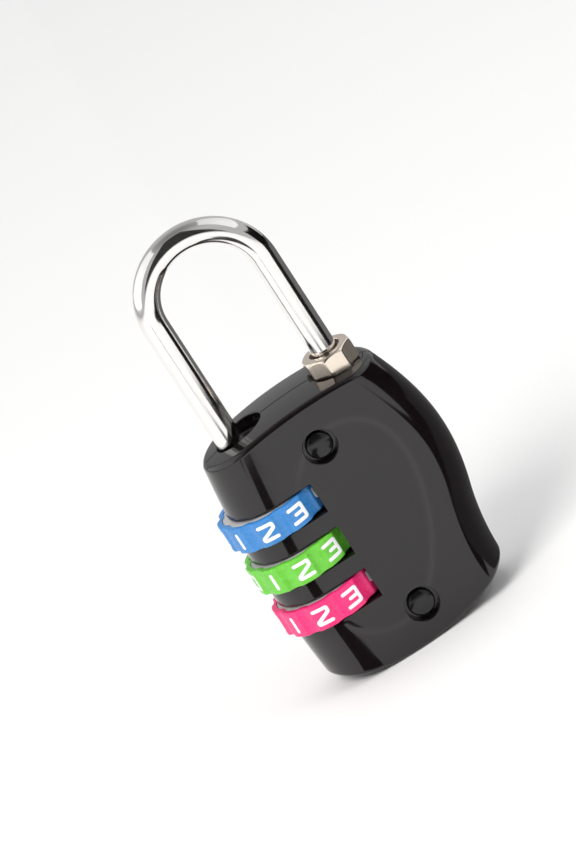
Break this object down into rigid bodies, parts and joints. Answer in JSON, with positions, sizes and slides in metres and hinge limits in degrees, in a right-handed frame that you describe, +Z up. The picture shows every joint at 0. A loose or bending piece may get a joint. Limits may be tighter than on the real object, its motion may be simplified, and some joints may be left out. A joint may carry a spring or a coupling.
{
  "type": "combination padlock",
  "caption": "Small combination padlock: glossy two-part case, coloured digit dials stacked along one edge, and a chromed U shackle that lifts to open.",
  "frame": {"origin": "under the middle of the case, level with the lowest point of its arched base, on the parting plane between the case's two halves", "axes": "+Z up along the shackle, -Y out of the front face, -X towards the dials"},
  "size_m": [0.031, 0.0142, 0.0627],
  "materials": {
    "black_case": "gloss",
    "chrome_rod": "polished",
    "nickel": "satin",
    "black_rivet": "gloss",
    "blue_plastic": "semi-gloss",
    "green_plastic": "semi-gloss",
    "pink_plastic": "semi-gloss",
    "hub_plastic": "satin",
    "bush_plastic": "satin",
    "core_metal": "satin",
    "steel": "machined"
  },
  "bodies": {
    "case": {"front_case": "black_case", "rear_case": "black_case", "shackle_collar": "nickel", "collar_bush": "bush_plastic", "upper_rivet": "black_rivet", "lower_rivet": "black_rivet", "code_spindle": "steel", "spindle_spring": "steel", "detent_spring": "steel", "lock_core": "core_metal", "latch_spring": "steel", "shackle_spring": "steel", "spring_seat": "steel", "spindle_bush": "steel"},
    "shackle": {"shackle": "chrome_rod", "heel_clip": "steel"},
    "latch": {"latch": "steel"},
    "blue_wheel": {"blue_dial": "blue_plastic", "blue_hub": "hub_plastic"},
    "green_wheel": {"green_dial": "green_plastic", "green_hub": "hub_plastic"},
    "pink_wheel": {"pink_dial": "pink_plastic", "pink_hub": "hub_plastic"}
  },
  "joints": [
    {"name": "shackle_lift", "type": "slide", "parent": "case", "child": "shackle", "axis": [0, 0, 1], "range_m": [0, 0.01], "deforming": ["shackle_spring"]},
    {"name": "latch_slide", "type": "slide", "parent": "case", "child": "latch", "axis": [1, 0, 0], "range_m": [0, 0.003], "deforming": ["latch_spring"]},
    {"name": "blue_turn", "type": "hinge", "parent": "case", "child": "blue_wheel", "pos_m": [-0.00832, 0, 0.02445], "axis": [0, 0, 1], "continuous": true},
    {"name": "green_turn", "type": "hinge", "parent": "case", "child": "green_wheel", "pos_m": [-0.00832, 0, 0.0178], "axis": [0, 0, 1], "continuous": true},
    {"name": "pink_turn", "type": "hinge", "parent": "case", "child": "pink_wheel", "pos_m": [-0.00832, 0, 0.01115], "axis": [0, 0, 1], "continuous": true}
  ],
  "couplings": [
    {"joint": "latch_slide", "follows": "shackle_lift", "ratio": 0.3}
  ]
}
